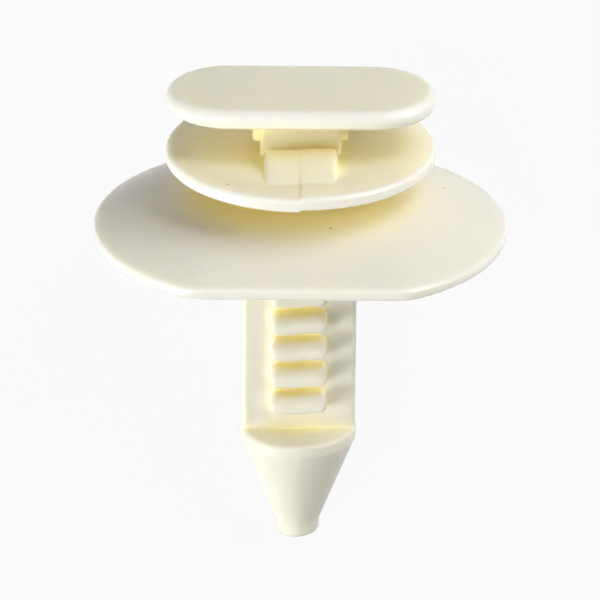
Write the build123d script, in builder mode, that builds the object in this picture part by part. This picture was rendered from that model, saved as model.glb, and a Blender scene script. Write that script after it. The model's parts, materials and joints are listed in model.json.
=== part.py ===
from build123d import *
import os
from math import atan2, cos, degrees, hypot, radians, sin, sqrt, tan

# Trim panel retainer, moulded in one piece of nylon. Lengths are millimetres.
# It is drawn upright: Z runs up the shank, and Z = 0 is the plane in which the
# flange's rim meets the body panel. Then it is laid down as it comes to rest,
# on the back flat of its flange and its tip.

# Head plate, which holds the trim panel's pocket from inside
head_length = 17.65
head_width = 8.4
head_thickness = 1.5
head_edge = 0.68

# Slot between head plate and disc, and the neck that crosses it
slot_height = 2.45
neck_width = 5.3
neck_depth = 4.0
neck_corner = 0.35
collar_width = 6.3
collar_depth = 3.0
collar_height = 1.6

# Disc under the pocket, with its eased rim
disc_diameter = 17.66
disc_thickness = 1.02
disc_underside = 5.43
disc_edge = 0.25
disc_easing = 2.4
disc_drop = 0.12

# Ramp on the disc, which snaps behind the pocket's wall
ramp_width = 4.8
ramp_height = 0.9
ramp_back = 3.0
ramp_foot = 6.6
ramp_corner = 0.4
ramp_sink = 0.2

# Flange: a shallow dome whose rim lies in one plane, round-ended and cut straight front and back
flange_length = 27.1
flange_end_radius = 12.1
flange_across_flats = 21.5
flange_corner = 2.6
flange_wall = 0.7
flange_rise = 2.85
flange_top_edge = 0.35
flange_foot_edge = 0.25
seat_width = 0.5
crown_share = 0.3
dome_sections = 6

# Pilot, cone and tip
pilot_diameter = 7.66
ledge_depth = 13.85
ledge_edge = 0.25
pilot_length = 0.8
cone_length = 6.25
tip_diameter = 2.9
tip_length = 0.95
tip_edge = 0.4

# Shank plate, from the flange down to the pilot's ledge, just inside the pilot's circle
plate_inset = 0.06
plate_thickness = 1.8
plate_edge = 0.33

# Barbs on the front and the back of the shank plate
barb_count = 6
barb_pitch = 1.95
barb_width = 3.66
barb_reach = 2.6
barb_nose = 1.1
barb_slope = 12
barb_corner = 0.25
barb_clearance = 1.84

# How far the left mould half sat below the right one
parting_step = 0.13

# What follows from the sizes above
disc_top = disc_underside + disc_thickness
disc_fall = 2 * atan2(disc_drop, disc_easing - disc_edge)
disc_shoulder = disc_edge * cos(disc_fall) / (1 - sin(disc_fall))
head_underside = disc_top + slot_height
crown_underside = flange_rise
crown_middle = crown_underside + flange_wall / 2
ledge_z = -ledge_depth
plate_width = pilot_diameter - 2 * plate_inset
cone_start = ledge_z - pilot_length
cone_end = cone_start - cone_length
tip_end = cone_end - tip_length


def flange_outline(share):
    """The flange's outline, shrunk towards the axis to a share of its size."""
    with BuildSketch() as outline:
        SlotOverall(flange_length * share, 2 * flange_end_radius * share)
        Rectangle(flange_length, flange_across_flats * share, mode=Mode.INTERSECT)
        fillet(outline.vertices(), flange_corner * share)
    return outline.sketch


def dome(rim_share, rim_z):
    """A dome from the rim's plane up to the flat crown, lofted through shrinking outlines."""
    with BuildPart() as body:
        for step in range(dome_sections):
            fall = 1 - step / (dome_sections - 1)
            share = crown_share + (rim_share - crown_share) * fall
            with BuildSketch(Plane.XY.offset(rim_z + flange_rise * (1 - fall**2))):
                add(flange_outline(share))
        loft()
    return body.part


def flange():
    """The sealing flange: rim, dome and the hollow under it."""
    seat_share = 1 - seat_width / (flange_across_flats / 2)
    with BuildPart() as body:
        with BuildSketch():
            add(flange_outline(1))
        extrude(amount=flange_wall)
        add(dome(1, flange_wall))
        add(dome(seat_share, 0), mode=Mode.SUBTRACT)
        rim = body.edges().filter_by(lambda edge: is_on_outline(edge))
        fillet(rim.filter_by_position(Axis.Z, flange_wall - 0.01, flange_wall + 0.01), flange_top_edge)
        rim = body.edges().filter_by(lambda edge: is_on_outline(edge))
        fillet(rim.filter_by_position(Axis.Z, -0.01, 0.01), flange_foot_edge)
    return body.part


def is_on_outline(edge):
    """Whether an edge runs round the flange's full outline."""
    middle = edge.position_at(0.5)
    on_flat = abs(abs(middle.Y) - flange_across_flats / 2) < 0.01
    end_centre = flange_length / 2 - flange_end_radius
    return on_flat or hypot(abs(middle.X) - end_centre, middle.Y) > flange_end_radius - seat_width / 2


def head_plate():
    """The round-ended head plate with its rounded edge."""
    with BuildPart() as body:
        with BuildSketch(Plane.XY.offset(head_underside)):
            SlotOverall(head_length, head_width)
        extrude(amount=head_thickness)
        rims = body.faces().filter_by(Axis.Z).edges()
        fillet(rims, head_edge)
    return body.part


def disc():
    """The disc, round underneath at its rim and eased off above."""
    radius = disc_diameter / 2
    eased = disc_top - disc_drop
    with BuildPart() as body:
        with BuildSketch(Plane.XZ):
            with BuildLine():
                Polyline((radius - disc_edge, disc_underside), (0, disc_underside), (0, disc_top),
                         (radius - disc_easing, disc_top))
                easing = TangentArc((radius - disc_easing, disc_top), (radius - disc_edge, eased),
                                    tangent=(1, 0))
                TangentArc(easing @ 1, (radius, eased - disc_shoulder), tangent=easing % 1)
                Line((radius, eased - disc_shoulder), (radius, disc_underside + disc_edge))
                RadiusArc((radius, disc_underside + disc_edge), (radius - disc_edge, disc_underside),
                          disc_edge)
            make_face()
        revolve(axis=Axis.Z)
    return body.part


def ramp():
    """The snap ramp: highest near the neck, with rounded shoulders, sinking into the disc."""
    back_plane = Plane(origin=(0, -ramp_back, disc_top), x_dir=(1, 0, 0), z_dir=(0, -1, 0))
    run = ramp_foot - ramp_back
    with BuildPart() as body:
        with BuildSketch(back_plane) as profile:
            with Locations((0, (ramp_height - ramp_sink) / 2)):
                Rectangle(ramp_width, ramp_height + ramp_sink)
            fillet(profile.vertices().group_by(Axis.Y)[-1], ramp_corner)
        extrude(amount=hypot(run, ramp_height), dir=(0, -run, -ramp_height))
    return body.part


def block(width, depth, corner, bottom, top):
    """A column of rounded rectangular section on the axis."""
    with BuildPart() as body:
        with BuildSketch(Plane.XY.offset(bottom)):
            RectangleRounded(width, depth, corner)
        extrude(amount=top - bottom)
    return body.part


def neck_and_disc():
    """What the side moulds form above the flange: stem, disc, ramp, neck and collar."""
    into_head = head_underside + head_thickness / 2
    with BuildPart() as body:
        add(block(neck_width, neck_depth, neck_corner, crown_middle, into_head))
        add(block(collar_width, collar_depth, neck_corner, head_underside - collar_height, into_head))
        add(disc())
        add(ramp())
    return body.part


def shank_plate():
    """The flat shank with its long edges rounded, sunk into the pilot and the crown."""
    return block(plate_width, plate_thickness, plate_edge, ledge_z - pilot_length / 2, crown_middle)


def barb(nose_foot):
    """One front barb: flat catch face above, upright nose, sloping underside."""
    root = plate_thickness / 4
    drop = (barb_reach - root) * tan(radians(barb_slope))
    with BuildPart() as body:
        with BuildSketch(Plane.YZ):
            with BuildLine():
                Polyline((-root, nose_foot + barb_nose), (-barb_reach, nose_foot + barb_nose),
                         (-barb_reach, nose_foot), (-root, nose_foot - drop), close=True)
            make_face()
        extrude(amount=barb_width / 2, both=True)
        ends = body.faces().filter_by(Axis.X).edges()
        fillet(ends.filter_by_position(Axis.Y, -barb_reach - 0.01, -root - 0.01), barb_corner)
    return body.part


def shank_point():
    """The pilot with its ledge, the cone and the blunt tip."""
    pilot_radius = pilot_diameter / 2
    tip_radius = tip_diameter / 2
    with BuildPart() as body:
        with BuildSketch(Plane.XZ):
            with BuildLine():
                Polyline((0, tip_end), (0, ledge_z), (pilot_radius - ledge_edge, ledge_z))
                RadiusArc((pilot_radius - ledge_edge, ledge_z), (pilot_radius, ledge_z - ledge_edge),
                          ledge_edge)
                Polyline((pilot_radius, ledge_z - ledge_edge), (pilot_radius, cone_start),
                         (tip_radius, cone_end), (tip_radius, tip_end + tip_edge))
                RadiusArc((tip_radius, tip_end + tip_edge), (tip_radius - tip_edge, tip_end), tip_edge)
                Line((tip_radius - tip_edge, tip_end), (0, tip_end))
            make_face()
        revolve(axis=Axis.Z)
    return body.part


def shank():
    """What the side moulds form below the flange: plate, barbs, pilot, cone and tip."""
    with BuildPart() as body:
        add(shank_plate())
        add(shank_point())
        for step in range(barb_count):
            front = barb(ledge_z + barb_clearance + step * barb_pitch)
            add(front)
            add(front.mirror(Plane.XZ))
    return body.part


def parted(moulding):
    """The two halves of a side-moulded body, the left one a parting step lower."""
    with BuildPart() as right:
        add(moulding)
        split(bisect_by=Plane.YZ, keep=Keep.TOP)
    with BuildPart() as left:
        add(moulding)
        split(bisect_by=Plane.YZ, keep=Keep.BOTTOM)
    return [right.part, left.part.moved(Location((0, 0, -parting_step)))]


def lying_turn():
    """The turn about X, in degrees, that lays the piece on its flange's back flat and its tip.

    Both touch the table with a rounded edge, so the table is the line that
    touches those two circles on the back.
    """
    rim_y, rim_z = flange_across_flats / 2 - flange_foot_edge, flange_foot_edge
    tip_y, tip_z = tip_diameter / 2 - tip_edge, tip_end + tip_edge - parting_step
    span_y, span_z = tip_y - rim_y, tip_z - rim_z
    span = hypot(span_y, span_z)
    along = (flange_foot_edge - tip_edge) / span
    across = sqrt(1 - along**2)
    down_y = (along * span_y - across * span_z) / span
    down_z = (along * span_z + across * span_y) / span
    return -degrees(atan2(down_y, -down_z))


def laid_down(body):
    """The piece as it lies, with the origin under the middle of its box."""
    turned = body.moved(Location((0, 0, 0), (lying_turn(), 0, 0)))
    box = turned.bounding_box()
    return turned.moved(Location((0, -(box.min.Y + box.max.Y) / 2, -box.min.Z)))


with BuildPart() as upright:
    add(flange())
    add(head_plate())
    for half in parted(neck_and_disc()) + parted(shank()):
        add(half)

with BuildPart() as retainer:
    add(laid_down(upright.part))

os.makedirs("parts", exist_ok=True)
retainer.part.label = "retainer"
export_step(retainer.part, "parts/retainer.step")
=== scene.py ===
"""Looks of a one-piece nylon trim panel retainer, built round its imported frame.

The clip is drawn in its own axes, in millimetres: Z runs up the shank, Z = 0 is the plane of the
flange's rim, and the barbed front faces -Y. ClipAxes then lays it where the frame's record says.
"""

import json
import logging
import math
from dataclasses import dataclass
from enum import Enum
from typing import Callable, Sequence

import bmesh
import bpy
from mathutils import Matrix, Vector


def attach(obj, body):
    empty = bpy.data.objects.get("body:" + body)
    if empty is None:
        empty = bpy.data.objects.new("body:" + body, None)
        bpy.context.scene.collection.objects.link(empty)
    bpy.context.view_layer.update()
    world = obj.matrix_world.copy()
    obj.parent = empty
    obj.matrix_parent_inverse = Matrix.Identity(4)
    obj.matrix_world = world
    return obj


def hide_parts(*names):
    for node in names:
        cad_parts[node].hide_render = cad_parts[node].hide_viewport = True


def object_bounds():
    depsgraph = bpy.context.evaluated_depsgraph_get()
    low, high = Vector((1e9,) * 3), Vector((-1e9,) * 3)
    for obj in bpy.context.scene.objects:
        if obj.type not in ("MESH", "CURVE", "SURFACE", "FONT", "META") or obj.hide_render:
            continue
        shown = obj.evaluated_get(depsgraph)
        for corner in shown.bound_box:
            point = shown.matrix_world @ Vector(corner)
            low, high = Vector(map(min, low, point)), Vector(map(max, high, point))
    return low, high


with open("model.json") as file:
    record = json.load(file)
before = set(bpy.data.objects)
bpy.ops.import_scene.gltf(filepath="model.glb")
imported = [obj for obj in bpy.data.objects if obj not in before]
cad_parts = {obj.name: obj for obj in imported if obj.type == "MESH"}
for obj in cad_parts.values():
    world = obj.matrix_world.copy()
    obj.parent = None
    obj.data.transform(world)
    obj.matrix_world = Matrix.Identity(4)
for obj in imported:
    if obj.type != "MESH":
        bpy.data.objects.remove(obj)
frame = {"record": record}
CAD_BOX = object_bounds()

LOG = logging.getLogger("retainer")
MM = 0.001
IMAGE_PX = 600
# Points closer than this are one point, in a ring and in the laid skin
RING_MERGE_MM = 1e-5
SKIN_MERGE_M = 2e-6
# Width of the narrow flat that is left beside a rounded edge
LAND_MM = 0.1

Ring = list[Vector]
Point2 = tuple[float, float]
Span = tuple[float, float]
Colour = tuple[float, float, float, float]
# Scale, detail and roughness
Noise = tuple[float, float, float]


def placed(name: str, data: bpy.types.ID) -> bpy.types.Object:
    """Makes an object of this data and links it to the scene.

    Args:
        name: Name of the object.
        data: Its mesh, lamp or camera.

    Returns:
        The object.
    """
    thing = bpy.data.objects.new(name, data)
    bpy.context.scene.collection.objects.link(thing)
    return thing


def arc(centre: Point2, radius: float, start: float, end: float, steps: int) -> list[Point2]:
    """Points along an arc, both ends included.

    Args:
        centre: Centre of the arc.
        radius: Its radius.
        start: First angle in degrees, from the first axis.
        end: Last angle in degrees.
        steps: Number of divisions.

    Returns:
        The points in order.
    """
    turns = [math.radians(start + (end - start) * i / steps) for i in range(steps + 1)]
    return [(centre[0] + radius * math.cos(t), centre[1] + radius * math.sin(t)) for t in turns]


def rounded_rectangle(width: float, height: float, radius: float, steps: int = 5) -> list[Point2]:
    """Outline of a rectangle with rounded corners, centred, anticlockwise.

    Args:
        width: Size along the first axis.
        height: Size along the second axis.
        radius: Radius of the corners.
        steps: Divisions of each corner.

    Returns:
        The points in order.
    """
    x, y = width / 2 - radius, height / 2 - radius
    corners = ((x, y, 0), (-x, y, 90), (-x, -y, 180), (x, -y, 270))
    outline: list[Point2] = []
    for cx, cy, start in corners:
        outline += arc((cx, cy), radius, start, start + 90, steps)
    return outline


def stadium(length: float, width: float, steps: int = 40) -> list[Point2]:
    """Outline of a round-ended bar, centred, anticlockwise.

    Args:
        length: Size along the first axis.
        width: Size along the second axis.
        steps: Divisions of each end.

    Returns:
        The points in order.
    """
    radius, reach = width / 2, (length - width) / 2
    return arc((reach, 0), radius, -90, 90, steps) + arc((-reach, 0), radius, 90, 270, steps)


def grey(tone: float) -> Colour:
    """A grey of this tone."""
    return (tone, tone, tone, 1.0)


class Solid:
    """A closed mesh in the clip's own axes, which can be joined with others."""

    def __init__(self, name: str, mesh: bpy.types.Mesh) -> None:
        """Wraps a mesh in an object of the scene."""
        self.body = placed(name, mesh)

    @classmethod
    def from_rings(cls, name: str, rings: Sequence[Ring]) -> "Solid":
        """Skins rings of equal length and closes both ends.

        Args:
            name: Name of the object.
            rings: Rings of points, from the first end to the last.

        Returns:
            The closed solid, with its faces outwards.
        """
        build = bmesh.new()
        loops = [[build.verts.new(point) for point in ring] for ring in rings]
        count = len(loops[0])
        for lower, upper in zip(loops, loops[1:]):
            for i in range(count):
                j = (i + 1) % count
                build.faces.new((lower[i], lower[j], upper[j], upper[i]))
        build.faces.new(reversed(loops[0]))
        build.faces.new(loops[-1])
        bmesh.ops.remove_doubles(build, verts=build.verts, dist=RING_MERGE_MM)
        bmesh.ops.recalc_face_normals(build, faces=build.faces)
        mesh = bpy.data.meshes.new(name)
        build.to_mesh(mesh)
        build.free()
        return cls(name, mesh)

    @classmethod
    def stacked(cls, name: str, layers: Sequence[tuple[float, Sequence[Point2]]]) -> "Solid":
        """Skins flat outlines stacked along Z, each given as (height, outline)."""
        rings = [[Vector((x, y, z)) for x, y in outline] for z, outline in layers]
        return cls.from_rings(name, rings)

    @classmethod
    def turned(cls, name: str, profile: Sequence[Point2], steps: int) -> "Solid":
        """Turns a profile of (radius, height) points about Z."""
        last = 360 - 360 / steps
        return cls.stacked(name, [(z, arc((0, 0), r, 0, last, steps - 1)) for r, z in profile])

    def modify(self, kind: str, **settings: object) -> "Solid":
        """Adds a modifier and applies it.

        Args:
            kind: The modifier's type.
            settings: Its properties.

        Returns:
            This solid.
        """
        modifier = self.body.modifiers.new(kind.lower(), kind)
        for key, value in settings.items():
            setattr(modifier, key, value)
        graph = bpy.context.evaluated_depsgraph_get()
        mesh = bpy.data.meshes.new_from_object(self.body.evaluated_get(graph))
        self.body.modifiers.clear()
        self.body.data = mesh
        return self

    def joined(self, others: Sequence["Solid"]) -> "Solid":
        """Unites this solid with others, which are used up.

        Args:
            others: The solids that are added, one by one.

        Returns:
            This solid.
        """
        for other in others:
            self.modify("BOOLEAN", operation="UNION", solver="EXACT", object=other.body)
            bpy.data.objects.remove(other.body)
        return self

    def moved(self, matrix: Matrix) -> "Solid":
        """Moves the mesh itself."""
        self.body.data.transform(matrix)
        return self

    def scored(self, cuts: Sequence[float]) -> "Solid":
        """Cuts the faces, but not the body, by upright planes across X.

        Args:
            cuts: Where the planes stand.

        Returns:
            This solid.
        """
        build = bmesh.new()
        build.from_mesh(self.body.data)
        for cut in cuts:
            geometry = build.verts[:] + build.edges[:] + build.faces[:]
            bmesh.ops.bisect_plane(build, geom=geometry, plane_co=(cut, 0, 0), plane_no=(1, 0, 0))
        build.to_mesh(self.body.data)
        build.free()
        return self

    def shaped(self, rule: Callable[[Vector], Vector]) -> "Solid":
        """Moves every point to where the rule says.

        Args:
            rule: Gives a point's new place.

        Returns:
            This solid.
        """
        for vertex in self.body.data.vertices:
            vertex.co = rule(vertex.co.copy())
        return self


@dataclass
class HeadPlate:
    """The round-ended plate that sits inside the trim panel's pocket."""

    length: float = 17.65
    width: float = 8.4
    thickness: float = 1.5
    underside: float = 8.9
    edge: float = 0.68
    edge_steps: int = 9
    # Inset of the ring that closes the underside
    foot_inset: float = 1.2
    # Rise of the top's middle, and the insets of the rings that carry it
    crown: float = 0.12
    crown_insets: tuple[float, ...] = (0.9, 1.2, 1.7, 2.4, 3.2, 3.9)

    def build(self) -> Solid:
        """Makes the plate with its rounded edge and a slightly crowned top.

        Returns:
            The plate.
        """
        edge, bottom = self.edge, self.underside
        rise = bottom + self.thickness - self.crown
        profile = [(self.foot_inset, bottom), (edge + LAND_MM, bottom)]
        profile += arc((edge, bottom + edge), edge, 270, 180, self.edge_steps)
        profile += arc((edge, rise - edge), edge, 180, 90, self.edge_steps)
        for inset in self.crown_insets:
            share = (inset - edge) / (self.width / 2 - edge)
            profile.append((inset, rise + self.crown * (1 - (1 - share) ** 2)))
        layers = [(z, stadium(self.length - 2 * i, self.width - 2 * i)) for i, z in profile]
        return Solid.stacked("head", layers)


@dataclass
class NeckAndDisc:
    """Neck, collar, disc and snap ramp: what the side moulds form above the flange."""

    disc_radius: float = 8.83
    disc_underside: float = 5.43
    disc_thickness: float = 1.02
    disc_edge: float = 0.25
    disc_easing: float = 2.4
    disc_drop: float = 0.12
    # Radius at which both faces close, inside the neck
    disc_core: float = 0.5
    # Width of the flat ring where the easing starts
    disc_land: float = 0.3
    disc_steps: int = 192
    edge_steps: int = 8
    easing_steps: int = 10
    neck: Span = (5.3, 4.0)
    neck_corner: float = 0.35
    collar: Span = (6.3, 3.0)
    collar_height: float = 1.6
    ramp_width: float = 4.8
    ramp_height: float = 0.9
    ramp_back: float = 3.0
    ramp_foot: float = 6.6
    ramp_corner: float = 0.4
    ramp_corner_steps: int = 6
    ramp_sink: float = 0.2
    # Width and steps of its eased edges, and the angle from which an edge is eased
    ramp_easing: float = 0.07
    ramp_easing_steps: int = 2
    ramp_sharp: float = 50.0
    head_underside: float = 8.9
    into_head: float = 0.6
    foot: float = 3.3

    def disc(self) -> Solid:
        """Makes the disc, round underneath at its rim and eased off above.

        Returns:
            The disc.
        """
        radius, edge, bottom = self.disc_radius, self.disc_edge, self.disc_underside
        top = bottom + self.disc_thickness
        run = self.disc_easing - edge
        fall = 2 * math.atan2(self.disc_drop, run)
        ease = run / math.sin(fall)
        corner = edge / (1 - math.sin(fall))
        shoulder = top - self.disc_drop - corner * math.cos(fall)
        turn = 90 - math.degrees(fall)
        start = radius - self.disc_easing
        profile = [(self.disc_core, bottom), (radius - edge - LAND_MM, bottom)]
        profile += arc((radius - edge, bottom + edge), edge, 270, 360, self.edge_steps)
        profile += arc((radius - corner, shoulder), corner, 0, turn, self.edge_steps)
        profile += arc((start, top - ease), ease, turn, 90, self.easing_steps)[1:]
        profile += [(start - self.disc_land, top), (self.disc_core, top)]
        return Solid.turned("disc", profile, self.disc_steps)

    def column(self, name: str, size: Span, bottom: float, top: float) -> Solid:
        """Makes a column of rounded rectangular section."""
        outline = rounded_rectangle(*size, self.neck_corner)
        return Solid.stacked(name, [(bottom, outline), (top, outline)])

    def ramp(self) -> Solid:
        """Makes the ramp: upright behind, with rounded shoulders, sinking into the disc in front.

        Returns:
            The ramp.
        """
        top = self.disc_underside + self.disc_thickness
        half, corner, steps = self.ramp_width / 2, self.ramp_corner, self.ramp_corner_steps
        level = self.ramp_height - corner
        face = [(-half, -self.ramp_sink), (half, -self.ramp_sink)]
        face += arc((half - corner, level), corner, 0, 90, steps)
        face += arc((corner - half, level), corner, 90, 180, steps)
        rings = []
        for share in (0.0, 1.0):
            y = -self.ramp_back - share * (self.ramp_foot - self.ramp_back)
            rings.append([Vector((x, y, top + z - share * self.ramp_height)) for x, z in face])
        return Solid.from_rings("ramp", rings).modify(
            "BEVEL", width=self.ramp_easing, segments=self.ramp_easing_steps,
            limit_method="ANGLE", angle_limit=math.radians(self.ramp_sharp))

    def build(self) -> Solid:
        """Makes the group in one.

        Returns:
            The group.
        """
        top = self.head_underside + self.into_head
        collar_foot = self.head_underside - self.collar_height
        parts = [self.column("neck", self.neck, self.foot, top),
                 self.column("collar", self.collar, collar_foot, top), self.ramp()]
        return self.disc().joined(parts)


@dataclass
class Flange:
    """The sealing flange, an umbrella whose rim lies in one plane."""

    half_length: float = 13.55
    end_radius: float = 12.1
    half_depth: float = 10.75
    corner: float = 2.6
    wall: float = 0.7
    rise: float = 2.85
    top_edge: float = 0.35
    foot_edge: float = 0.25
    seat: float = 0.5
    # Shares of the outline at which the dome ends, and at which both faces close
    crown_share: float = 0.3
    core_share: float = 0.2
    end_steps: int = 26
    corner_steps: int = 14
    flat_steps: int = 12
    top_edge_steps: int = 8
    foot_edge_steps: int = 6
    under_steps: int = 22
    over_steps: int = 26

    def outline(self, share: float) -> list[Point2]:
        """The rim's outline: round-ended, cut straight front and back.

        Args:
            share: The share of its full size to which it is shrunk.

        Returns:
            The points in order, anticlockwise.
        """
        depth, corner = self.half_depth, self.corner
        middle = self.half_length - self.end_radius
        reach = self.end_radius - corner
        cy = depth - corner
        cx = middle + math.sqrt(reach ** 2 - cy ** 2)
        lean = math.degrees(math.asin(cy / reach))
        quarter = arc((middle, 0), self.end_radius, 0, lean, self.end_steps)[:-1]
        quarter += arc((cx, cy), corner, lean, 90, self.corner_steps)
        quarter += [(cx * (1 - i / self.flat_steps), depth) for i in range(1, self.flat_steps)]
        half = quarter + [(0.0, depth)] + [(-x, y) for x, y in reversed(quarter)]
        whole = half + [(x, -y) for x, y in reversed(half[1:-1])]
        return [(x * share, y * share) for x, y in whole]

    def dome(self, rim_share: float, rim_z: float, shares: Sequence[float]) -> list[Point2]:
        """Heights of the dome at shares of the outline, as (share, height)."""
        fall = [(share - self.crown_share) / (rim_share - self.crown_share) for share in shares]
        return [(share, rim_z + self.rise * (1 - f * f)) for share, f in zip(shares, fall)]

    def rim(self) -> list[Point2]:
        """The rim's section from its foot round to the dome, as (share, height).

        Returns:
            The points in order.
        """
        slope = 2 * self.rise / (1 - self.crown_share) / self.half_depth
        tilt = math.hypot(1, slope)
        top, foot = self.top_edge, self.foot_edge
        top_z = self.wall + slope * top - tilt * top
        lean = math.degrees(math.atan2(1, -slope))
        edge = arc((foot, foot), foot, 270, 180, self.foot_edge_steps)
        edge += arc((top, top_z), top, 180, lean, self.top_edge_steps)
        return [(1 - inset / self.half_depth, z) for inset, z in edge]

    def build(self) -> Solid:
        """Makes the flange as one skin, from under the crown out and back over the top.

        Returns:
            The flange.
        """
        crown, inner, outer = self.crown_share, self.under_steps, self.over_steps
        seat_share = 1 - self.seat / self.half_depth
        span = seat_share - crown
        under = self.dome(seat_share, 0, [crown + span * i / inner for i in range(inner + 1)])
        rim = self.rim()
        last = rim[-1][0]
        shares = [last + (crown - last) * i / outer for i in range(1, outer + 1)]
        over = self.dome(1, self.wall, shares)
        first, final = (self.core_share, under[0][1]), (self.core_share, over[-1][1])
        section = [first] + under + rim + over + [final]
        return Solid.stacked("flange", [(z, self.outline(share)) for share, z in section])


@dataclass
class Shank:
    """Plate, barbs, pilot, cone and tip: what the side moulds form below the flange."""

    plate: Span = (7.54, 1.8)
    plate_edge: float = 0.33
    plate_edge_steps: int = 6
    plate_top: float = 3.3
    plate_sink: float = 0.4
    ledge: float = -13.85
    ledge_edge: float = 0.25
    ledge_edge_steps: int = 6
    pilot_radius: float = 3.83
    pilot_length: float = 0.8
    # Radius of the turn from the pilot to the cone, and its centre's height above that edge
    shoulder: float = 0.5
    shoulder_rise: float = 0.05
    shoulder_steps: int = 3
    cone_length: float = 6.25
    cone_steps: int = 8
    tip_radius: float = 1.43
    tip_length: float = 0.95
    tip_edge: float = 0.4
    tip_edge_steps: int = 8
    # The turn from the tip to the cone: its start below and end above, and how far it flares
    tip_easing: Span = (0.12, 0.08)
    tip_flare: float = 0.03
    # Radius at which the ledge and the tip close
    core: float = 0.3
    turned_steps: int = 160
    # The ridge's height and half width as shares of the radius, and the length of its start
    ridge: float = 0.028
    ridge_width: float = 0.7
    ridge_fade: float = 0.8
    barb_count: int = 6
    barb_pitch: float = 1.95
    barb_clearance: float = 1.84
    barb_width: float = 3.66
    barb_reach: float = 2.6
    barb_nose: float = 1.1
    barb_slope: float = 12
    # A corner's radius, and the number of radii for which a section keeps room
    barb_corner: float = 0.42
    barb_corner_room: float = 2.1
    # Run and drop of the rounded top
    barb_crest: Span = (1.0, 0.62)
    barb_crest_steps: int = 16
    # Where its plain part has one more section, in front of the axis
    barb_middle: float = 1.4
    # Radii of the rounded foot and ends
    barb_foot: float = 0.2
    barb_end: float = 0.3

    def plate_body(self) -> Solid:
        """Makes the flat shank with its long edges rounded.

        Returns:
            The plate.
        """
        outline = rounded_rectangle(*self.plate, self.plate_edge, self.plate_edge_steps)
        bottom = self.ledge - self.plate_sink
        return Solid.stacked("plate", [(bottom, outline), (self.plate_top, outline)])

    def point(self) -> Solid:
        """Makes the pilot with its ledge, the cone and the blunt tip.

        Returns:
            The three as one solid.
        """
        length, count = self.cone_length, self.cone_steps
        land = self.ledge - self.pilot_length
        cone_end = land - length
        bottom = cone_end - self.tip_length
        radius, edge, tip = self.pilot_radius, self.ledge_edge, self.tip_radius
        lean = math.degrees(math.atan2(radius - tip, length))
        below, above = self.tip_easing
        end = tip - self.tip_edge
        profile = [(self.core, bottom), (end - LAND_MM, bottom)]
        profile += arc((end, bottom + self.tip_edge), self.tip_edge, 270, 360, self.tip_edge_steps)
        profile += [(tip, cone_end - below), (tip + self.tip_flare, cone_end + above)]
        profile += [(tip + (radius - tip) * i / count, cone_end + length * i / count)
                    for i in range(1, count)]
        turn = (radius - self.shoulder, land + self.shoulder_rise)
        profile += arc(turn, self.shoulder, -lean, 0, self.shoulder_steps)
        profile += arc((radius - edge, self.ledge - edge), edge, 0, 90, self.ledge_edge_steps)
        profile += [(radius - edge - LAND_MM, self.ledge), (self.core, self.ledge)]
        return Solid.turned("point", profile, self.turned_steps).shaped(self.ridged)

    def ridged(self, point: Vector) -> Vector:
        """Draws the point's front out to a faint ridge, where the mould's halves met.

        Args:
            point: A place on the turned solid.

        Returns:
            Where it ends up.
        """
        radius = math.hypot(point.x, point.y)
        near = max(1 - abs(point.x) / (radius * self.ridge_width), 0.0) if point.y < 0 else 0.0
        land = self.ledge - self.pilot_length
        lower = min(max((land - point.z) / self.ridge_fade, 0.0), 1.0)
        return Vector((point.x, point.y * (1 + self.ridge * lower * near ** 2), point.z))

    def barb(self) -> Solid:
        """Makes one front barb, its nose's foot at height 0.

        Returns:
            The barb, its root inside the plate.
        """
        run, steps = self.barb_crest[0], self.barb_crest_steps
        crest = self.barb_reach - run
        stations = [self.plate[1] / 4, self.plate[1] / 2, self.barb_middle]
        turns = [math.radians(90 * i / steps) for i in range(steps + 1)]
        stations += [crest + run * math.sin(turn) for turn in turns]
        return Solid.from_rings("barb", [self.barb_section(y) for y in stations])

    def rounding(self, y: float, run: float, drop: float) -> float:
        """How far an edge has dropped back in front of the axis, by a quarter ellipse."""
        past = max(y - self.barb_reach + run, 0.0) / run
        return drop * (1 - math.sqrt(max(1 - past * past, 0.0)))

    def barb_section(self, y: float) -> Ring:
        """The barb's rounded section.

        Args:
            y: Distance in front of the axis.

        Returns:
            The ring of points.
        """
        low = -(self.barb_reach - y) * math.tan(math.radians(self.barb_slope))
        foot = low + self.rounding(y, self.barb_foot, self.barb_foot)
        head = self.barb_nose - self.rounding(y, *self.barb_crest)
        corner = min(self.barb_corner, (head - foot) / self.barb_corner_room)
        width = self.barb_width - 2 * self.rounding(y, self.barb_end, self.barb_end)
        outline = rounded_rectangle(width, head - foot, corner)
        return [Vector((x, -y, (head + foot) / 2 + z)) for x, z in outline]

    def build(self) -> Solid:
        """Makes the group in one, with both rows of barbs.

        Returns:
            The group.
        """
        first = self.ledge + self.barb_clearance
        rows = BarbRows(self.barb().body).grown(first, self.barb_pitch, self.barb_count)
        return self.plate_body().joined([self.point(), rows])


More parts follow.
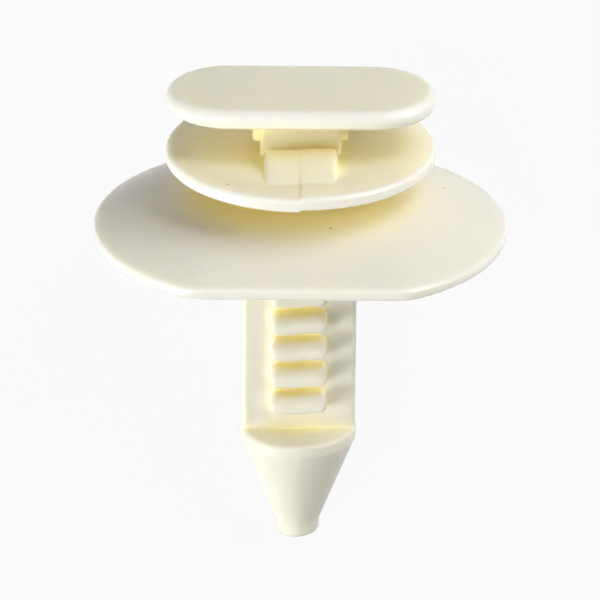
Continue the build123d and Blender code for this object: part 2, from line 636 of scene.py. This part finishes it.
@dataclass
class BarbRows:
    """Two rows of barbs along the shank, front and back, set out by Geometry Nodes."""

    barb: bpy.types.Object

    def tree(self) -> bpy.types.GeometryNodeTree:
        """Builds the node tree, with the row's height, pitch and count as inputs.

        Returns:
            The node group.
        """
        tree = bpy.data.node_groups.new("barb_rows", "GeometryNodeTree")
        sockets = {"Geometry": "NodeSocketGeometry", "First height": "NodeSocketFloat",
                   "Pitch": "NodeSocketFloat", "Count": "NodeSocketInt",
                   "Material": "NodeSocketMaterial"}
        for name, kind in sockets.items():
            tree.interface.new_socket(name, in_out="INPUT", socket_type=kind)
        tree.interface.new_socket("Geometry", in_out="OUTPUT", socket_type="NodeSocketGeometry")
        nodes = tree.nodes
        given, result = nodes.new("NodeGroupInput"), nodes.new("NodeGroupOutput")
        start, step = nodes.new("ShaderNodeCombineXYZ"), nodes.new("ShaderNodeCombineXYZ")
        line, place = nodes.new("GeometryNodeMeshLine"), nodes.new("GeometryNodeInstanceOnPoints")
        turn, rows = nodes.new("GeometryNodeTransform"), nodes.new("GeometryNodeJoinGeometry")
        real = nodes.new("GeometryNodeRealizeInstances")
        finish = nodes.new("GeometryNodeSetMaterial")
        line.mode = "OFFSET"
        turn.inputs["Rotation"].default_value = (0, 0, math.pi)
        pairs = ((given.outputs["First height"], start.inputs["Z"]),
                 (given.outputs["Pitch"], step.inputs["Z"]),
                 (given.outputs["Count"], line.inputs["Count"]),
                 (start.outputs[0], line.inputs["Start Location"]),
                 (step.outputs[0], line.inputs["Offset"]),
                 (line.outputs["Mesh"], place.inputs["Points"]),
                 (given.outputs["Geometry"], place.inputs["Instance"]),
                 (place.outputs["Instances"], rows.inputs["Geometry"]),
                 (place.outputs["Instances"], turn.inputs["Geometry"]),
                 (turn.outputs["Geometry"], rows.inputs["Geometry"]),
                 (rows.outputs["Geometry"], real.inputs["Geometry"]),
                 (real.outputs["Geometry"], finish.inputs["Geometry"]),
                 (given.outputs["Material"], finish.inputs["Material"]),
                 (finish.outputs["Geometry"], result.inputs["Geometry"]))
        for source, target in pairs:
            tree.links.new(source, target)
        return tree

    def grown(self, first: float, pitch: float, count: int) -> Solid:
        """Sets the barbs out and makes them one plain mesh; the single barb is used up.

        Args:
            first: Height of the lowest barb.
            pitch: Height from one barb to the next.
            count: Number of barbs in each row.

        Returns:
            Both rows.
        """
        modifier = self.barb.modifiers.new("rows", "NODES")
        modifier.node_group = self.tree()
        values = {"First height": first, "Pitch": pitch, "Count": count}
        for item in modifier.node_group.interface.items_tree:
            if item.name in values:
                modifier[item.identifier] = values[item.name]
        graph = bpy.context.evaluated_depsgraph_get()
        mesh = bpy.data.meshes.new_from_object(self.barb.evaluated_get(graph))
        bpy.data.objects.remove(self.barb)
        return Solid("barbs", mesh)


@dataclass(frozen=True)
class ClipAxes:
    """Where the clip's own axes lie in the frame."""

    seat: Vector
    up: Vector

    @classmethod
    def of_record(cls, record: dict) -> "ClipAxes":
        """Reads the flange's seat from the record's mounts."""
        seat = next(mount for mount in record["mounts"] if mount["name"] == "panel_seat")
        return cls(Vector(seat["pos_m"]), -Vector(seat["axis"]).normalized())

    @property
    def turn(self) -> Matrix:
        """The turn about X from the clip's axes to the frame's."""
        return Matrix.Rotation(-math.atan2(self.up.y, self.up.z), 4, "X")

    def matrix(self) -> Matrix:
        """Takes the clip's millimetres to the frame's metres."""
        return Matrix.Translation(self.seat) @ self.turn @ Matrix.Scale(MM, 4)


class Value:
    """A shader socket that takes part in sums, so that shader maths reads as maths."""

    def __init__(self, desk: "NodeDesk", socket: bpy.types.NodeSocket) -> None:
        """Wraps a socket of the desk's tree."""
        self.desk, self.socket = desk, socket

    def _maths(self, operation: str, *terms: object) -> "Value":
        """Adds a Math node on these terms."""
        return self.desk.add("ShaderNodeMath", {"operation": operation}, dict(enumerate(terms)))

    def __add__(self, other: object) -> "Value":
        """self + other."""
        return self._maths("ADD", self, other)

    __radd__ = __add__

    def __mul__(self, other: object) -> "Value":
        """self * other."""
        return self._maths("MULTIPLY", self, other)

    __rmul__ = __mul__

    def __sub__(self, other: object) -> "Value":
        """self - other."""
        return self._maths("SUBTRACT", self, other)

    def __rsub__(self, other: object) -> "Value":
        """other - self."""
        return self._maths("SUBTRACT", other, self)

    def size(self) -> "Value":
        """Its absolute value."""
        return self._maths("ABSOLUTE", self)

    def root(self) -> "Value":
        """Its square root."""
        return self._maths("SQRT", self)

    def greater(self, other: object) -> "Value":
        """The greater of the two."""
        return self._maths("MAXIMUM", self, other)

    def ramp(self, low: float, high: float) -> "Value":
        """Smooth steps from 0 to 1.

        Args:
            low: Where the ramp is 0; it may be above high.
            high: Where the ramp is 1.

        Returns:
            The ramp's value.
        """
        swap = low > high
        ends = (high, low) if swap else (low, high)
        inputs = {"Value": self, "From Min": ends[0], "From Max": ends[1]}
        rise = self.desk.add("ShaderNodeMapRange", {"interpolation_type": "SMOOTHSTEP"}, inputs)
        return 1 - rise if swap else rise


@dataclass
class NodeDesk:
    """One node tree, and the one way in which nodes are added to it."""

    tree: bpy.types.NodeTree

    @classmethod
    def of(cls, owner: bpy.types.Material | bpy.types.World) -> "NodeDesk":
        """Opens the tree of a material or a sky, with nothing in it.

        Args:
            owner: The material or sky.

        Returns:
            Its desk.
        """
        owner.use_nodes = True
        owner.node_tree.nodes.clear()
        return cls(owner.node_tree)

    def node(self, kind: str, settings: dict, inputs: dict) -> bpy.types.Node:
        """Adds a node.

        Args:
            kind: The node's type.
            settings: Its properties, set first.
            inputs: Values or links of its sockets, by name or number.

        Returns:
            The node.
        """
        node = self.tree.nodes.new(kind)
        for key, value in settings.items():
            setattr(node, key, value)
        for key, value in inputs.items():
            if isinstance(value, Value):
                self.tree.links.new(value.socket, node.inputs[key])
            else:
                node.inputs[key].default_value = value
        return node

    def add(self, kind: str, settings: dict, inputs: dict, output: int | str = 0) -> Value:
        """Adds a node, as node does, and hands back one of its outputs."""
        return Value(self, self.node(kind, settings, inputs).outputs[output])

    def axis(self, place: Value, name: str) -> Value:
        """One coordinate of a place."""
        return self.add("ShaderNodeSeparateXYZ", {}, {"Vector": place}, name)

    def noise(self, place: Value, scale: float, detail: float, roughness: float) -> Value:
        """Noise from 0 to 1 at a place."""
        inputs = {"Vector": place, "Scale": scale, "Detail": detail, "Roughness": roughness}
        return self.add("ShaderNodeTexNoise", {}, inputs, "Fac")

    def blend(self, factor: object, first: object, second: object) -> Value:
        """Mixes two colours."""
        settings = {"data_type": "RGBA", "clamp_factor": True}
        return self.add("ShaderNodeMix", settings, {0: factor, 6: first, 7: second}, 2)

    def shown(self) -> Value:
        """1 for rays that see or mirror a thing, 0 for those that light by it.

        Returns:
            The rays' value.
        """
        path = self.node("ShaderNodeLightPath", {}, {})
        seen = Value(self, path.outputs["Is Camera Ray"])
        for ray in ("Is Glossy Ray", "Is Transmission Ray"):
            seen = seen.greater(Value(self, path.outputs[ray]))
        return seen


@dataclass(frozen=True)
class NaturalNylon:
    """Unpigmented nylon, milky and glossy.

    It is warmer above the flange, where head and disc are also brightened as painted light, and
    darker and a little greyer on the flange as painted shade. Edges are whiter with a painted
    highlight and glow, and recesses yellower with painted shade. The shank has a matt mould
    texture, and a few dark specks show.
    Heights and radii are in the clip's own axes, in millimetres. A pair of numbers that is used as
    a ramp gives 0 at the first and 1 at the second.
    """

    base: Colour = (0.93, 0.905, 0.77, 1.0)
    # Painted shade: the flange is darker and a little greyer than the head
    flange_shade: Colour = (0.865, 0.845, 0.735, 1.0)
    # The head and disc's warmer tone, brightened as painted light
    warm_and_lit: Colour = (0.99, 0.95, 0.73, 1.0)
    # Painted highlight and glow that whiten the edges
    edge_highlight: Colour = (0.98, 0.965, 0.88, 1.0)
    # Painted shade: the yellow that recesses are given, where little light reaches
    recess_shade: Colour = (0.91, 0.80, 0.38, 1.0)
    speck: Colour = (0.30, 0.25, 0.16, 1.0)
    gloss: float = 0.26
    shank_matt: float = 0.1
    specular: float = 0.22
    ior: float = 1.53
    coat: Span = (0.05, 0.8)
    coat_gloss: float = 0.16
    depth: tuple[float, float, float] = (1.0, 0.85, 0.25)
    depth_scale: float = 0.001
    shank_ramp: Span = (0.2, -0.2)
    flange_shade_ramp: Span = (-0.6, 0.0)
    warm_ramp: Span = (3.4, 5.4)
    warm_floor: float = 0.85
    cloud: Noise = (0.22, 2.0, 0.5)
    cloud_ramp: Span = (0.38, 0.66)
    open_samples: int = 8
    shade_reach: float = 0.010
    shade_ramp: Span = (0.66, 0.1)
    shade_share: float = 0.85
    speck_scale: float = 0.42
    speck_ramp: Span = (0.05, 0.02)
    speck_share: float = 0.75
    edge_reach: float = 0.0005
    edge_ramp: Span = (0.75, 0.45)
    head_end: float = 4.625
    head_rim: Span = (3.4, 3.9)
    head_foot: Span = (7.6, 8.6)
    disc_rim: Span = (8.3, 8.7)
    disc_foot: Span = (4.6, 5.2)
    disc_top: Span = (7.6, 7.0)
    flange_foot: Span = (-0.3, -0.1)
    flange_top: Span = (1.0, 0.65)
    flange_share: float = 0.8
    grain: Noise = (5.5, 3.0, 0.6)
    grain_height: float = 0.03
    swell: Noise = (0.5, 1.0, 0.5)
    swell_height: float = 0.02
    bump: float = 0.35

    def material(self, axes: ClipAxes) -> bpy.types.Material:
        """Builds the material, with its patterns fixed to the clip's own axes.

        Args:
            axes: Where the clip lies in the frame.

        Returns:
            The finished material.
        """
        material = bpy.data.materials.new("natural_nylon")
        desk = NodeDesk.of(material)
        seen = desk.add("ShaderNodeTexCoord", {}, {}, "Object")
        back = axes.matrix().inverted()
        place = desk.add("ShaderNodeMapping", {"vector_type": "POINT"},
                         {"Vector": seen, "Location": back.to_translation(),
                          "Rotation": back.to_euler(), "Scale": (1 / MM, 1 / MM, 1 / MM)})
        shank = desk.axis(place, "Z").ramp(*self.shank_ramp)
        edge = self.edges(desk, place)
        nylon = desk.add("ShaderNodeBsdfPrincipled", {"subsurface_method": "BURLEY"}, {
            "Base Color": self.colour(desk, place, edge),
            "Roughness": shank * self.shank_matt + self.gloss,
            "IOR": self.ior,
            "Normal": self.texture(desk, place, shank),
            "Subsurface Weight": 1.0,
            "Subsurface Radius": self.depth,
            "Subsurface Scale": self.depth_scale,
            "Specular IOR Level": self.specular,
            "Coat Weight": edge * (self.coat[1] - self.coat[0]) + self.coat[0],
            "Coat Roughness": self.coat_gloss,
        })
        desk.node("ShaderNodeOutputMaterial", {}, {"Surface": nylon})
        return material

    def texture(self, desk: NodeDesk, place: Value, shank: Value) -> Value:
        """The mould's fine texture on the shank, and the faint swell of all faces.

        Args:
            desk: The material's desk.
            place: The place in the clip's own axes.
            shank: 1 on the shank.

        Returns:
            The bumped normal.
        """
        grain = desk.noise(place, *self.grain)
        swell = desk.noise(place, *self.swell)
        height = grain * shank * self.grain_height + swell * self.swell_height
        inputs = {"Height": height, "Strength": self.bump, "Distance": MM}
        return desk.add("ShaderNodeBump", {}, inputs)

    def openness(self, desk: NodeDesk, reach: float, inside: bool) -> Value:
        """How free the space is above the surface, or the plastic is below it, from 0 to 1."""
        settings = {"samples": self.open_samples, "only_local": True, "inside": inside}
        return desk.add("ShaderNodeAmbientOcclusion", settings, {"Distance": reach}, "AO")

    def edges(self, desk: NodeDesk, place: Value) -> Value:
        """Finds the rims of head, disc and flange, and where plastic ends close below the surface.

        Args:
            desk: The material's desk.
            place: The place in the clip's own axes.

        Returns:
            1 on the edges, 0 elsewhere.
        """
        x, y, z = [desk.axis(place, name) for name in "XYZ"]
        past_end = (x.size() - self.head_end).greater(0.0)
        from_bar = (past_end * past_end + y * y).root()
        head = from_bar.ramp(*self.head_rim) * z.ramp(*self.head_foot)
        from_axis = (x * x + y * y).root()
        disc = from_axis.ramp(*self.disc_rim) * z.ramp(*self.disc_foot) * z.ramp(*self.disc_top)
        flange = z.ramp(*self.flange_top) * z.ramp(*self.flange_foot) * self.flange_share
        # The painted edge highlight goes on these rims and thin ends
        close = self.openness(desk, self.edge_reach, True).ramp(*self.edge_ramp)
        return close.greater(head + disc + flange)

    def colour(self, desk: NodeDesk, place: Value, edge: Value) -> Value:
        """The nylon's colour, with painted light and shade laid into it.

        Args:
            desk: The material's desk.
            place: The place in the clip's own axes.
            edge: 1 on the edges, where the highlight is painted.

        Returns:
            The colour.
        """
        tone = desk.noise(place, *self.cloud).ramp(*self.cloud_ramp)
        height = desk.axis(place, "Z")
        # Painted shade: all above the shank is darkened, the flange most of all
        colour = desk.blend(height.ramp(*self.flange_shade_ramp), self.base, self.flange_shade)
        warmth = tone * (1 - self.warm_floor) + self.warm_floor
        # Warmer tone above the flange, brightened as painted light
        colour = desk.blend(height.ramp(*self.warm_ramp) * warmth, colour, self.warm_and_lit)
        # Painted highlight: the edges turn whiter
        colour = desk.blend(edge, colour, self.edge_highlight)
        # Painted shade: recesses turn yellow by how shut in they are
        painted_shade = self.openness(desk, self.shade_reach, False).ramp(*self.shade_ramp)
        colour = desk.blend(painted_shade * self.shade_share, colour, self.recess_shade)
        dots = desk.add("ShaderNodeTexVoronoi", {"feature": "F1"},
                        {"Vector": place, "Scale": self.speck_scale}, "Distance")
        return desk.blend(dots.ramp(*self.speck_ramp) * self.speck_share, colour, self.speck)


@dataclass
class Retainer:
    """The whole clip: one moulding whose left half sits a parting step lower."""

    parting_step: float = 0.13
    # Width over which the step is spread, in general and between the disc's heights
    step_width: float = 1.8
    disc_step_width: float = 0.3
    disc_heights: Span = (5.2, 6.5)
    step_cuts: int = 6
    # Edges that turn less than this, in degrees, are shaded smooth
    smooth_below: float = 38.0

    def parted(self, group: Solid) -> Solid:
        """Lowers the left half of a side-moulded group, by a soft step at the parting plane.

        Args:
            group: The group.

        Returns:
            The same group.
        """
        shares = [i / self.step_cuts - 0.5 for i in range(self.step_cuts + 1)]
        widths = (self.step_width, self.disc_step_width)
        cuts = {width * share for width in widths for share in shares}
        return group.scored(sorted(cuts)).shaped(self.lowered)

    def lowered(self, point: Vector) -> Vector:
        """Lowers a point by its share of the parting step.

        Args:
            point: A place on a side-moulded group.

        Returns:
            Where it ends up.
        """
        on_disc = self.disc_heights[0] < point.z < self.disc_heights[1]
        width = self.disc_step_width if on_disc else self.step_width
        share = min(max(0.5 - point.x / width, 0.0), 1.0)
        return point - Vector((0, 0, self.parting_step * share * share * (3 - 2 * share)))

    def build(self, axes: ClipAxes) -> bpy.types.Object:
        """Makes the moulding and lays it in the frame.

        Args:
            axes: Where the clip lies.

        Returns:
            The finished object at the origin.
        """
        groups = [self.parted(NeckAndDisc().build()), self.parted(Shank().build())]
        whole = Flange().build().joined([HeadPlate().build()] + groups)
        body = whole.moved(axes.matrix()).body
        body.name = body.data.name = "retainer_moulding"
        self.shade(body.data)
        body.data.materials.clear()
        body.data.materials.append(NaturalNylon().material(axes))
        return body

    def shade(self, mesh: bpy.types.Mesh) -> None:
        """Shades the mesh smooth, with its true edges kept sharp.

        Args:
            mesh: The mesh, in metres.
        """
        build = bmesh.new()
        build.from_mesh(mesh)
        bmesh.ops.remove_doubles(build, verts=build.verts, dist=SKIN_MERGE_M)
        limit = math.radians(self.smooth_below)
        for face in build.faces:
            face.smooth = True
        for edge in build.edges:
            edge.smooth = len(edge.link_faces) == 2 and edge.calc_face_angle(0) < limit
        build.to_mesh(mesh)
        build.free()


class Side(Enum):
    """Which way a lamp stands from the clip as it lies, the head towards +Y."""

    HEAD_RIGHT = (0.56, 0.69, 0.51)
    RIGHT = (0.80, 0.22, 0.50)
    TIP_LEFT = (-0.85, -0.40, 0.34)
    OVERHEAD = (-0.40, -0.20, 0.85)


@dataclass(frozen=True)
class Lamp:
    """A square soft lamp."""

    side: Side
    size: float
    watts: float
    distance: float = 0.4

    def light(self, centre: Vector) -> None:
        """Hangs the lamp, turned to the clip.

        Args:
            centre: The clip's middle.
        """
        data = bpy.data.lights.new(self.side.name.lower(), "AREA")
        data.size, data.energy = self.size, self.watts
        lamp = placed(data.name, data)
        lamp.location = centre + Vector(self.side.value).normalized() * self.distance
        lamp.rotation_euler = (lamp.location - centre).to_track_quat("Z", "Y").to_euler()


@dataclass
class Studio:
    """Floor, sky and lamps."""

    floor_side: float = 3.0
    floor_tone: float = 0.4
    floor_roughness: float = 0.9
    floor_white: float = 0.94
    sky_tone: float = 0.8
    sky_light: float = 0.0
    lamps: tuple[Lamp, ...] = (Lamp(Side.HEAD_RIGHT, 0.24, 0.80), Lamp(Side.RIGHT, 0.16, 0.66),
                               Lamp(Side.TIP_LEFT, 0.2, 1.40), Lamp(Side.OVERHEAD, 0.16, 0.42))

    def set_sky(self) -> None:
        """Sets a plain sky, pale where it is seen or mirrored and dark as a light."""
        world = bpy.data.worlds.new("sky")
        bpy.context.scene.world = world
        desk = NodeDesk.of(world)
        inputs = {"Value": desk.shown(), "To Min": self.sky_light}
        strength = desk.add("ShaderNodeMapRange", {}, inputs)
        inputs = {"Color": grey(self.sky_tone), "Strength": strength}
        back = desk.add("ShaderNodeBackground", {}, inputs)
        desk.node("ShaderNodeOutputWorld", {}, {"Surface": back})

    def paper(self) -> bpy.types.Material:
        """The floor's paper: pale as a light, and white to rays that see or mirror it.

        The white is thin enough to keep the clip's shadow.

        Returns:
            The material.
        """
        material = bpy.data.materials.new("floor_paper")
        desk = NodeDesk.of(material)
        inputs = {"Base Color": grey(self.floor_tone), "Roughness": self.floor_roughness}
        paper = desk.add("ShaderNodeBsdfPrincipled", {}, inputs)
        glow = desk.add("ShaderNodeEmission", {}, {})
        share = desk.shown() * self.floor_white
        mixed = desk.add("ShaderNodeMixShader", {}, {"Fac": share, 1: paper, 2: glow})
        desk.node("ShaderNodeOutputMaterial", {}, {"Surface": mixed})
        return material

    def lay_floor(self) -> None:
        """Lays a plain pale floor."""
        half = self.floor_side / 2
        mesh = bpy.data.meshes.new("floor")
        corners = [(-half, -half, 0), (half, -half, 0), (half, half, 0), (-half, half, 0)]
        mesh.from_pydata(corners, [], [(0, 1, 2, 3)])
        mesh.materials.append(self.paper())
        placed("floor", mesh)

    def build(self, centre: Vector) -> None:
        """Sets the studio up round the clip.

        Args:
            centre: The clip's middle.
        """
        self.set_sky()
        self.lay_floor()
        for lamp in self.lamps:
            lamp.light(centre)
        bpy.context.scene.view_settings.view_transform = "Standard"


@dataclass
class Viewpoint:
    """The camera, given in the clip's own axes: it looks down on the upright clip's front."""

    elevation: float = 25.1
    roll: float = 0.5
    # Size of a pixel at the clip, in millimetres
    pixel: float = 0.066
    distance_px: float = 6000.0
    aim_px: tuple[float, float, float] = (0.6, 0.0, -74.6)
    sensor: float = 36.0
    clipping: Span = (0.01, 10.0)

    def build(self, axes: ClipAxes) -> None:
        """Places the camera.

        Args:
            axes: Where the clip lies.
        """
        e, r = math.radians(self.elevation), math.radians(self.roll)
        ahead = Vector((0, math.cos(e), -math.sin(e)))
        flat = Vector((1, 0, 0))
        up = flat.cross(ahead)
        right = math.cos(r) * flat + math.sin(r) * up
        top = math.cos(r) * up - math.sin(r) * flat
        eye = Vector(self.aim_px) * self.pixel - ahead * self.distance_px * self.pixel
        pose = Matrix((right, top, -ahead)).transposed().to_4x4()
        data = bpy.data.cameras.new("camera")
        data.sensor_width = self.sensor
        data.lens = self.sensor * self.distance_px / IMAGE_PX
        data.clip_start, data.clip_end = self.clipping
        camera = placed("camera", data)
        camera.matrix_world = Matrix.Translation(axes.matrix() @ eye) @ axes.turn @ pose
        bpy.context.scene.camera = camera


def main() -> None:
    """Builds the clip and its studio."""
    logging.basicConfig(level=logging.INFO, format="%(name)s: %(message)s")
    axes = ClipAxes.of_record(frame["record"])
    Viewpoint().build(axes)
    body = Retainer().build(axes)
    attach(body, "root")
    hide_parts("retainer")
    LOG.info("%s: %d faces", body.name, len(body.data.polygons))
    low, high = CAD_BOX
    Studio().build((low + high) / 2)


if __name__ == "__main__":
    main()
